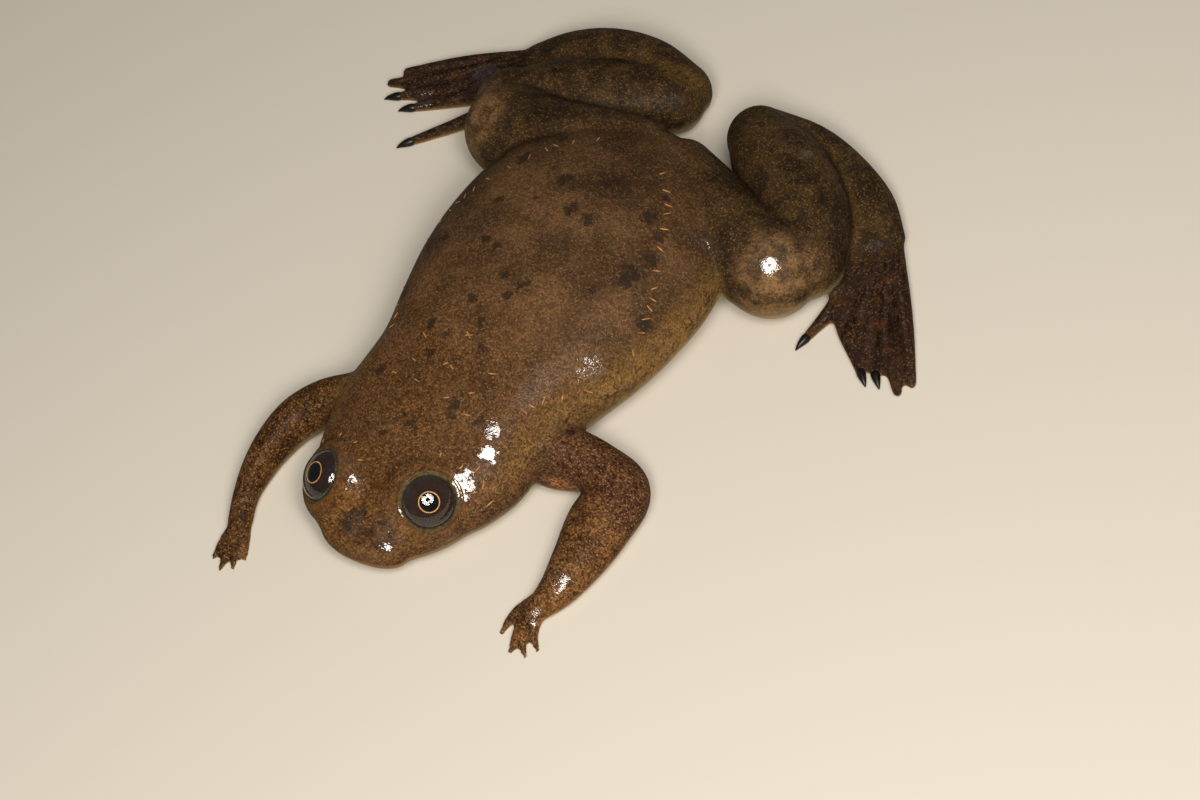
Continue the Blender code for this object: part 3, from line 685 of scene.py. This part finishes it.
# %% Dark spots, x, y and radius
spots = (
    (-10.3, 11.5, 0.9), (-4.2, 18.9, 1.5), (-5.3, 14.0, 0.5), (1.9, 21.6, 1.2), (2.6, 22.8, 0.9),
    (0.5, 15.0, 1.2), (3.7, 14.9, 1.3), (10.1, 20.7, 1.3), (13.0, 18.8, 1.1), (-7.5, 4.9, 1.0),
    (-5.2, 4.6, 0.8), (-0.9, 1.4, 0.8), (2.5, 1.6, 1.2), (1.4, -1.1, 1.0), (-3.0, -3.8, 0.8),
    (-6.3, -9.4, 1.0), (-3.3, -10.2, 0.8), (0.4, -6.1, 0.7), (3.0, -9.5, 0.8), (-3.7, -13.3, 0.8),
    (4.4, -17.6, 1.3), (4.9, -19.3, 0.8), (0.5, -23.0, 1.0), (8.8, -17.8, 1.0), (10.0, -18.1, 0.7),
    (13.8, 11.6, 1.5), (13.9, 10.3, 1.2), (18.7, 7.2, 1.1), (11.0, 6.3, 0.7), (20.8, -5.0, 0.8),
    (18.0, -10.3, 0.7), (-2.6, -26.2, 0.7), (-1.3, -22.5, 0.7), (9.4, 24.8, 0.8), (14.4, 15.2, 1.2),
    (-14.5, 3.0, 1.1), (-13.0, 20.0, 1.4), (-15.5, -6.5, 0.9), (-9.5, -18.5, 1.0), (-11.0, 26.0, 1.2),
)
set_zone("spot", np.where(normals[:, 2] > 0, discs(spots), -1.0))
print("spots:", len(spots))

# %% [markdown]
# ## Creases and rays
# Where two limbs press together, the skin folds, and the hollow is darkened with painted shade. A vertex
# lies in one when its neighbours stand higher than it does, measured along its normal. The foot's colour
# runs in rays from the ankle along the toes, so each vertex also keeps its angle round a place at the
# ankle.

# %% Creases, and the rays of the foot
edges = np.array([e.vertices[:] for e in skin.data.edges])
ends = np.bincount(edges.ravel(), minlength=len(points))[:, None]


def neighbours(values):
    """The mean of each vertex's neighbours' values."""
    total = np.zeros_like(values)
    for column in range(values.shape[1]):
        total[:, column] = np.bincount(edges[:, 0], values[edges[:, 1], column], len(points))
        total[:, column] += np.bincount(edges[:, 1], values[edges[:, 0], column], len(points))
    return total / ends


hollow = np.sum((neighbours(points) - points) * normals, axis=1, keepdims=True) / mm
for _ in range(8):
    hollow = neighbours(hollow)
# Painted shade: the hollows between pressed limbs are darkened in the skin's colour
set_zone("crease", ramp(hollow[:, 0], 0.004, 0.03))
ankle_x, ankle_y = 32.0, 46.0
set_zone("ray", np.degrees(np.arctan2(np.abs(x) - ankle_x, ankle_y - y)))
print("creased share:", round(float(np.mean(hollow > 0.015)), 3))

# %% [markdown]
# ## Node helper
# A material is a small network of nodes. This helper adds one node, sets its plain settings and its
# unlinked sockets, and links what is passed as another node's output.

# %% Add a node
def node(tree, kind, settings=None, **sockets):
    """One shader node. A socket is named, or numbered with an s before, and takes a value or an output."""
    made = tree.nodes.new("ShaderNode" + kind)
    for key, value in (settings or {}).items():
        setattr(made, key, value)
    for key, value in sockets.items():
        key = int(key[1:]) if key[1:].isdigit() else key.replace("_", " ")
        if isinstance(value, bpy.types.NodeSocket):
            tree.links.new(value, made.inputs[key])
        else:
            made.inputs[key].default_value = value
    return made


# %% [markdown]
# ## Wet frog skin
# The skin has no scales, hair or warts to speak of: it is thin, slimy and full of pigment cells. Its
# ground is brown on the back, redder on the arms, ochre on flanks and cheeks and very dark on the feet.
# Each ground is two tones mixed by a noise of patches a few mm wide, and the zones lay them in turn.

# %% Skin material
wet_skin, tree, shader = new_material("wet_frog_skin")
place = node(tree, "TexCoord").outputs["Object"]
in_mm = node(tree, "Mapping", s3=(1000, 1000, 1000), s0=place).outputs[0]


def noise(scale, detail=3.0, roughness=0.55, distortion=0.0, at=in_mm):
    """A value from 0 to 1 whose patches are about 1 / scale mm across."""
    values = {"Scale": scale, "Detail": detail, "Roughness": roughness, "Distortion": distortion}
    return node(tree, "TexNoise", Vector=at, **values).outputs["Fac"]


def between(value, low, high, to_low=0.0, to_high=1.0):
    values = {"Value": value, "s1": low, "s2": high, "s3": to_low, "s4": to_high}
    return node(tree, "MapRange", {"interpolation_type": "SMOOTHSTEP"}, **values).outputs["Result"]


def mixed(share, first, second):
    """Two colours mixed: share of the second. A colour is six hex digits or another node's output."""
    pair = [to_linear(c) if isinstance(c, str) else c for c in (first, second)]
    return node(tree, "Mix", {"data_type": "RGBA"}, s0=share, s6=pair[0], s7=pair[1]).outputs[2]


def zone(name):
    return node(tree, "Attribute", {"attribute_name": name}).outputs["Fac"]


def sum_up(operation, first, second, third=1.0):
    """One step of arithmetic on numbers or other nodes' outputs."""
    return node(tree, "Math", {"operation": operation}, s0=first, s1=second, s2=third).outputs[0]


def times(first, second):
    return sum_up("MULTIPLY", first, second)


def shaded(colour, factor):
    """A colour made darker or lighter by a factor."""
    return node(tree, "VectorMath", {"operation": "SCALE"}, s0=colour, Scale=factor).outputs[0]


# %% Ground colours of the back, flanks, head and limbs
ground = mixed(between(noise(0.13, 4), 0.35, 0.65), "3b2a1a", "553d27")
ground = mixed(times(zone("front"), between(noise(0.3, 4), 0.3, 0.7, 0.35, 0.9)), ground, "4a3018")
ground = mixed(times(zone("flank"), between(noise(0.45, 4), 0.3, 0.7, 0.5, 1.0)), ground, "7a5b31")
snout_ground = mixed(between(noise(0.5, 4, 0.6, 0.6), 0.40, 0.62), "583a1b", "2e1e0e")
ground = mixed(times(zone("snout"), 0.85), ground, snout_ground)
ground = mixed(times(zone("cheek"), between(noise(0.5, 4), 0.35, 0.6, 0.25, 0.9)), ground, "7c5830")
limb_ground = mixed(between(noise(0.22, 4, 0.6, 0.4), 0.38, 0.62), "2a2014", "47351f")
limb_ground = mixed(between(noise(0.35, 3, 0.6), 0.56, 0.66, 0.0, 0.8), limb_ground, "2a1c18")
ground = mixed(times(zone("limb"), 0.9), ground, limb_ground)
# The knee's top is lighter: partly the skin's own tone, partly painted sheen round its highlight
ground = mixed(times(zone("knee"), between(noise(0.4, 4), 0.38, 0.6, 0.15, 0.75)), ground, "8a6845")
arm_ground = mixed(between(noise(0.4, 4), 0.35, 0.65), "3f2817", "5e3f22")
arm_ground = mixed(times(zone("upper_arm"), 0.75), arm_ground, "3b251a")
ground = mixed(times(zone("arm"), 0.9), ground, arm_ground)
ground = mixed(times(zone("fold"), 0.6), ground, "7c5034")
ground = mixed(times(zone("seam"), 0.45), ground, "594220")
rays = node(tree, "CombineXYZ", X=times(zone("ray"), 0.25), Y=times(noise(0.25), 2.0)).outputs[0]
foot_ground = mixed(between(noise(1.0, 3, 0.6, at=rays), 0.35, 0.65), "20150f", "3d2b22")
foot_ground = mixed(between(noise(0.45, 3), 0.54, 0.66, 0.0, 0.6), foot_ground, "4f3119")
ground = mixed(zone("foot"), ground, foot_ground)
ground = mixed(times(zone("web"), 0.3), ground, "453228")
ground = mixed(times(zone("margin"), 0.7), ground, "7d572a")
# Painted shade: the right side and the rear are darkened in the colour itself, as if they lay in shadow
ground = shaded(ground, between(zone("far"), 0.0, 1.0, 1.0, 0.62))

# %% [markdown]
# ## Pigment cells
# Real pigment cells are about a tenth of a mm wide, too fine to show here, so each cell drawn is a
# quarter of a mm wide. A Voronoi texture gives every cell a random colour of its own, and its three
# channels are used as dice: for how bright the cell is, whether it is ochre, and whether it is black.

# %% Grain: every pigment cell is a little lighter or darker than the next
cells_per_mm = 4.1
cells = node(tree, "TexVoronoi", Vector=in_mm, Scale=cells_per_mm, Randomness=1.0)
chances = node(tree, "SeparateColor", Color=cells.outputs["Color"])
dot = between(cells.outputs["Distance"], 0.2, 0.75, 1.0, 0.0)
front_grain = between(zone("front"), 0.0, 1.0, 0.36, 0.52)
grainy = sum_up("MAXIMUM", front_grain, between(zone("arm"), 0.0, 1.0, 0.0, 0.72))
swing = times(sum_up("SUBTRACT", chances.outputs[0], 0.48), 2.0)
ground = shaded(ground, sum_up("MULTIPLY_ADD", swing, grainy))
ochre = times(between(chances.outputs[1], 0.5, 0.75), between(chances.outputs[0], 0.35, 0.7))
ground = mixed(times(times(ochre, dot), times(grainy, 0.65)), ground, "9c7440")

# %% Blotches, and painted shade in the creases
ragged = sum_up("ADD", zone("spot"), between(noise(1.1, 3, 0.65), 0.2, 0.8, -0.8, 0.5))
clouds = between(noise(0.26, 4, 0.62, 0.6), 0.56, 0.70)
clouds = times(clouds, between(sum_up("SUBTRACT", zone("limb"), zone("arm")), 0.1, 0.7, 0.4, 0.75))
clouds = times(clouds, between(zone("arm"), 0.0, 0.6, 1.0, 0.0))
crowded = sum_up("MAXIMUM", between(ragged, -0.4, 0.5), clouds)
net = between(sum_up("ABSOLUTE", sum_up("SUBTRACT", noise(0.5, 3, 0.6, 0.8), 0.5), 0.0), 0.08, 0.0)
net = times(times(net, zone("flank")), between(noise(0.3), 0.4, 0.6, 0.4, 1.0))
crowded = sum_up("MAXIMUM", crowded, times(net, 0.85))
black_cell = between(sum_up("SUBTRACT", times(crowded, 1.15), chances.outputs[2]), 0.0, 0.2)
ground = mixed(times(black_cell, 0.62), ground, "1c1512")
ground = mixed(times(crowded, 0.3), ground, "231a15")
# Painted shade in the creases, weaker in the ochre seam
crease_shade = times(zone("crease"), between(zone("seam"), 0.0, 1.0, 0.5, 0.15))
ground = mixed(crease_shade, ground, "140d08")

# %% [markdown]
# ## Lips, nostrils and eye folds
# The mouth's slit is painted shade: a dark line under a pale lip, all along the head's edge. The
# nostrils are darkened with painted shade too. Each line is two ramps multiplied: one rises at its start
# and one falls at its end.

# %% Lips, nostrils and eye folds
lips = zone("over_lips")
pale_lip = times(between(lips, -0.2, 0.25), between(lips, 0.9, 0.4))
ground = mixed(times(pale_lip, 0.45), ground, "8f5f31")
# Painted shade: the mouth's slit is a dark line in the skin's colour; the same line also cuts a groove in
# the relief
mouth_groove_and_shade = times(between(lips, -0.32, -0.12), between(lips, 0.02, -0.14))
ground = mixed(times(mouth_groove_and_shade, 0.8), ground, "150d08")
eye_ring = zone("to_eye")
fold = times(between(eye_ring, 4.3, 4.7), between(eye_ring, 5.6, 4.9))
ground = mixed(times(fold, between(noise(0.5), 0.35, 0.65, 0.0, 0.4)), ground, "653e18")
lid_rim = between(eye_ring, 4.6, 4.2)
ground = mixed(times(lid_rim, 0.7), ground, mixed(between(noise(1.2), 0.35, 0.65), "2e2616", "4a3f25"))
# Painted shade: the nostrils' openings are darkened in the skin's colour
nostril_shade = between(zone("to_nostril"), 1.0, 0.6)
ground = mixed(times(nostril_shade, 0.6), ground, "150d08")
belly = mixed(between(noise(0.5, 4), 0.5, 0.7, 0.0, 0.3), "a8946f", "6e5d44")
ground = mixed(zone("belly"), ground, belly)
tree.links.new(ground, shader.inputs["Base Color"])

# %% [markdown]
# ## Wetness and relief
# Damp skin scatters light: it is fairly rough and has little mirror in it. Where water stands, a sharp
# clear coat goes over it. Its IOR is higher than water's 1.33, because these lamps are weaker than a
# flash. Each pigment cell is a tiny bump, which breaks the coat's highlights.

# %% Wetness and relief
bump_height = 0.06 * mm
waves = noise(0.55, 3, 0.5)
relief = sum_up("ADD", times(dot, 0.45), times(waves, 1.4))
relief = sum_up("SUBTRACT", relief, times(mouth_groove_and_shade, 2.5))
groove = times(between(eye_ring, 4.35, 4.6), between(eye_ring, 5.0, 4.7))
relief = sum_up("SUBTRACT", relief, times(groove, 1.2))
grain = node(tree, "Bump", Strength=1.0, Distance=bump_height, Height=relief).outputs[0]
tree.links.new(grain, shader.inputs["Normal"])
bumpy = sum_up("MAXIMUM", between(zone("front"), 0.2, 0.7, 0.4, 0.1), times(zone("arm"), 0.35))
bumpy = times(bumpy, between(zone("knee"), 0.0, 1.0, 1.0, 0.25))
swell = between(zone("swell"), 0.0, 1.0, 1.0, 5.0)
film = sum_up("ADD", times(dot, bumpy), times(waves, swell))
film = sum_up("SUBTRACT", film, times(groove, 1.0))
film_grain = node(tree, "Bump", Strength=1.0, Distance=bump_height, Height=film).outputs[0]
tree.links.new(film_grain, shader.inputs["Coat Normal"])
soaked = sum_up("ADD", zone("wet"), between(noise(0.9, 3, 0.6), 0.3, 0.7, -0.35, 0.35))
tree.links.new(between(soaked, 0.24, 0.32, 0.02, 1.0), shader.inputs["Coat Weight"])
tree.links.new(between(noise(0.6, 3), 0.3, 0.7, 0.55, 0.68), shader.inputs["Roughness"])
settings = {"Coat Roughness": 0.05, "Coat IOR": 1.8, "IOR": 1.38, "Specular IOR Level": 0.05}
settings |= {"Subsurface Weight": 0.08, "Subsurface Scale": 0.7 * mm}
for socket, value in settings.items():
    shader.inputs[socket].default_value = value

# %% [markdown]
# ## Small parts
# Stitches and claws are too small for a pattern of their own, but nothing on an animal has one flat
# colour. One function makes their materials from two tones and two roughnesses.

# %% A material of two tones that run into each other
def mottled(name, colours, scale, roughness):
    material = plain_material(name, colours[0], roughness[0])
    tree = material.node_tree
    shader = tree.nodes["Principled BSDF"]
    shader.inputs["Specular IOR Level"].default_value = 0.3
    place = node(tree, "TexCoord").outputs["Object"]
    patches = node(tree, "TexNoise", Vector=place, Scale=scale * 1000, Detail=3.0).outputs["Fac"]
    share = node(tree, "MapRange", Value=patches, s1=0.35, s2=0.65).outputs["Result"]
    pair = [to_linear(colour) for colour in colours]
    tint = node(tree, "Mix", {"data_type": "RGBA"}, s0=share, s6=pair[0], s7=pair[1]).outputs[2]
    tree.links.new(tint, shader.inputs["Base Color"])
    rough = node(tree, "MapRange", Value=patches, s3=roughness[0], s4=roughness[1]).outputs["Result"]
    tree.links.new(rough, shader.inputs["Roughness"])
    return material


# %% Dress the flesh
def dress(piece, material, slot, *nodes):
    """Gives a piece its material and smooth shading, hangs it under the root, and hides the nodes of the
    frame that it stands for.
    """
    piece.data.materials.append(material)
    piece.data.shade_smooth()
    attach(piece, "root")
    if nodes:
        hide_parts(*nodes)


members = ("upper_arm", "forearm", "hand", "thigh", "shank", "tarsus", "foot")
flesh = ["head", "torso"] + [f"{member}_{side}" for member in members for side in ("left", "right")]
dress(skin, wet_skin, "skin_back", *flesh)
print("skin replaces", len(flesh), "members")

# %% [markdown]
# ## Eyes
# The eye is made as the real one is: a clear wet cornea over an iris. The iris is a low dome of dark
# brown with a round black pupil and a hair-thin gold ring round it. Towards the lids it turns grey, then
# black in a fine line, then olive. Because the cornea stands clear of it, the pupil shifts against the
# rim when the view changes. A painted ball would look right from one side only.

# %% Iris: soft dull tissue, as all the shine is the cornea's
iris_rim = 4.0  # mm from the axis, where the bands end
# Distance from the axis in mm: pupil, gold ring, dark brown, grey, black line, olive
iris_bands = (
    (0.0, "030303"), (1.23, "040404"), (1.27, "a87a45"), (1.35, "b08550"), (1.41, "1d120d"),
    (2.4, "22160f"), (3.0, "1c1512"), (3.2, "201f1f"), (3.42, "100d0a"), (3.6, "3b3420"),
)
iris, tree, shader = new_material("dark_iris_with_gold_ring")
from_axis, round_axis = zone("from_axis"), zone("round_axis")
sine, cosine = sum_up("SINE", round_axis, 0.0), sum_up("COSINE", round_axis, 0.0)
spread = node(tree, "CombineXYZ", X=sine, Y=cosine, Z=times(from_axis, 0.12)).outputs[0]
fibres = noise(9.0, 3.0, 0.5, at=spread)
bands = node(tree, "ValToRGB", s0=sum_up("DIVIDE", from_axis, iris_rim))
stops = bands.color_ramp.elements
while len(stops) < len(iris_bands):
    stops.new(0.5)
for stop, (radius, colour) in zip(stops, iris_bands):
    stop.position = radius / iris_rim
    stop.color = to_linear(colour)
tint = node(tree, "MapRange", Value=fibres, s1=0.3, s2=0.7, s3=0.65, s4=1.35).outputs["Result"]
tree.links.new(shaded(bands.outputs[0], tint), shader.inputs["Base Color"])
shader.inputs["Roughness"].default_value = 0.9
shader.inputs["Specular IOR Level"].default_value = 0.05


def iris_piece(name, side, radius=3.72, bulge=2.6, rise=0.55):
    """A closed ball whose front is pressed flat to the low dome of the iris."""
    builder = bmesh.new()
    bmesh.ops.create_uvsphere(builder, u_segments=128, v_segments=96, radius=1.0)
    for vertex in builder.verts:
        vertex.co = (vertex.co.x * radius, vertex.co.y * radius, vertex.co.z * bulge)
        away = math.hypot(vertex.co.x, vertex.co.y)
        vertex.co.z = min(vertex.co.z, lid_plane - 0.05 + rise * (1 - (away / radius) ** 2))
    away = [math.hypot(v.co.x, v.co.y) for v in builder.verts]
    turn = [math.atan2(v.co.y, v.co.x) for v in builder.verts]
    bmesh.ops.scale(builder, verts=builder.verts, vec=(mm, mm, mm))
    bmesh.ops.transform(builder, verts=builder.verts, matrix=eye_matrix(side, lid_plane))
    piece = as_object(name, builder)
    set_zone("from_axis", away, piece)
    set_zone("round_axis", turn, piece)
    return piece


eyes = {1: "eye_left", -1: "eye_right"}
for side, name in eyes.items():
    dress(iris_piece("iris_of_" + name, side), iris, "eye", name)

# %% [markdown]
# ## Cornea
# The cornea is clear and smooth, so it mirrors the lamps as small sharp spots. Its IOR is above the real
# 1.38 for the same reason as the coat's. Rendered glass casts a shadow, so for shadow rays the cornea is
# transparent, and light reaches the iris.

# %% Cornea
cornea, tree, clear = new_material("clear_wet_cornea")
clear.inputs["Transmission Weight"].default_value = 1.0
clear.inputs["Roughness"].default_value = 0.04
clear.inputs["IOR"].default_value = 1.55
lets_light_in = node(tree, "LightPath").outputs["Is Shadow Ray"]
through = node(tree, "BsdfTransparent").outputs[0]
layers = node(tree, "MixShader", s0=lets_light_in, s1=clear.outputs[0], s2=through)
tree.links.new(layers.outputs[0], tree.nodes["Material Output"].inputs["Surface"])
for side, name in eyes.items():
    dome = as_object("cornea_of_" + name, flat_ball(side, lid_plane, eye_radius, eye_bulge, 128, 96))
    dress(dome, cornea, "eye", name)

# %% [markdown]
# ## The lateral line
# This frog keeps the sense organs that a fish has along its side. They show as short pale stitches on the
# skin, in rows along the flanks, over the back and shoulders and round the eyes, each stitch lying
# roughly across its row. Every stitch is a tiny grain of pale skin pressed half into the surface. A ray
# dropped onto the skin finds the place and the way the skin faces there. Sines of the running number
# make the rows uneven.

# %% Stitches
flank_row = (
    (5.6, 28.5), (9.6, 24.7), (11.2, 22.4), (13.7, 17.9), (16.4, 13.3), (17.8, 10.7),
    (18.6, 8.6), (19.4, 5.5), (19.8, 0.2), (16.8, -6.6), (14.0, -10.1), (13.0, -12.6),
)
back_row = ((-0.4, -8.6), (-0.1, -13.6), (2.4, -17.6))
shoulder_row = ((5.9, -11.4), (5.8, -15.2), (6.5, -18.0))
skin_tree = BVHTree.FromObject(skin, bpy.context.evaluated_depsgraph_get())
stitches = bmesh.new()
stitch_half_width, stitch_height, ring_radius, cheek_radius = 0.11, 0.09, 6.4, 8.6


def stitch(across, along, way, length):
    """One grain on the skin under a place in plan, its long side lying along a way in plan."""
    hit, up, _, _ = skin_tree.ray_cast(Vector((across, along, 40)) * mm, Vector((0, 0, -1)))
    if hit is None or up.z < 0.3:
        return
    flat_way = Vector((*way, 0))
    lying = (flat_way - up * flat_way.dot(up)).normalized()
    made = bmesh.ops.create_uvsphere(stitches, u_segments=12, v_segments=8, radius=mm)["verts"]
    bmesh.ops.scale(stitches, verts=made, vec=(length / 2, stitch_half_width, stitch_height))
    turned = Matrix((lying, up.cross(lying), up)).transposed().to_4x4()
    bmesh.ops.transform(stitches, verts=made, matrix=Matrix.Translation(hit) @ turned)


def row_of_stitches(row, side, step):
    """Stitches along a row, a step of 1 being from one of its places to the next."""
    row = np.array([(across * side, along) for across, along in row])
    knots = np.arange(len(row))
    for at in np.arange(0, len(row) - 1 + 0.01, step):
        (across, along), (ahead, next_along) = flowing(knots, row, [at, at + 0.05])
        way = np.array((next_along - along, across - ahead))
        way = way / np.linalg.norm(way)
        lean = 0.6 * math.sin(7.3 * at + side)
        way = way + lean * np.array((-way[1], way[0]))
        aside = 0.5 * math.sin(9.7 * at + 2 * side)
        stitch(across + aside, along, way, 1.35 + 0.4 * math.sin(5.1 * at))


for side in (1, -1):
    row_of_stitches(flank_row, side, 0.62)
    row_of_stitches(back_row, side, 1.0)
    row_of_stitches(shoulder_row, side, 1.0)
    for turn in range(-70, 200, 30):
        lean = math.radians(turn) if side > 0 else math.radians(180 - turn)
        spot = lids[side] + Vector((math.cos(lean), math.sin(lean), 0)) * ring_radius
        stitch(spot.x, spot.y, (math.cos(lean), math.sin(lean)), 0.9)
# A longer arc on the left cheek
for turn in range(-62, 80, 13):
    lean = math.radians(turn)
    reach = cheek_radius + 0.7 * math.sin(turn)
    spot = lids[1] + Vector((math.cos(lean), math.sin(lean), 0)) * reach
    way = lean + 0.9 + 0.5 * math.sin(2.1 * turn)
    stitch(spot.x, spot.y, (math.cos(way), math.sin(way)), 1.5)
line_organs = as_object("lateral_line_stitches", stitches)
stitch_skin = mottled("pale_lateral_line_stitch", ("7a4a20", "a9773f"), 1.3, (0.4, 0.6))
dress(line_organs, stitch_skin, "skin_back")
print("stitch faces:", len(line_organs.data.polygons))

# %% [markdown]
# ## Claws
# Each claw is a small cone of black horn that caps the toe's tip and bends down a little. Horn is worn
# smooth, so it has a half gloss and a faint brown cast. It is drawn out like the other forms.

# %% Claws on the three inner toes
horn = mottled("black_claw_horn", ("040303", "17100b"), 2.2, (0.25, 0.5))
claw_start, claw_length, claw_half_width, claw_height = 0.42, 2.2, 0.68, 0.75
# Share of the length, share of the width, drop in mm
claw_sections = ((-0.2, 0.95, 0), (0, 1, 0), (0.35, 0.82, 0.02), (0.7, 0.5, 0.12), (0.97, 0.16, 0.34))
for side, word in ((1, "left"), (-1, "right")):
    for number, toe in enumerate(toes[side][:3], start=1):
        middle, tip = Vector((*toe[1], 0)), Vector((*toe[2], 0))
        forwards = (tip - middle).normalized()
        stations = []
        for share, thick, drop in claw_sections:
            spot = tip + forwards * (claw_start + claw_length * share)
            half_width = claw_half_width * thick
            stations.append((spot.x, spot.y, claw_height - drop, half_width, half_width))
        cone = drawn_out(stations, (0.3, 0.1), around=32, rings=40)
        claw = as_object(f"horn_of_claw_{word}_{number}", cone)
        dress(claw, horn, "claw", f"claw_{word}_{number}")
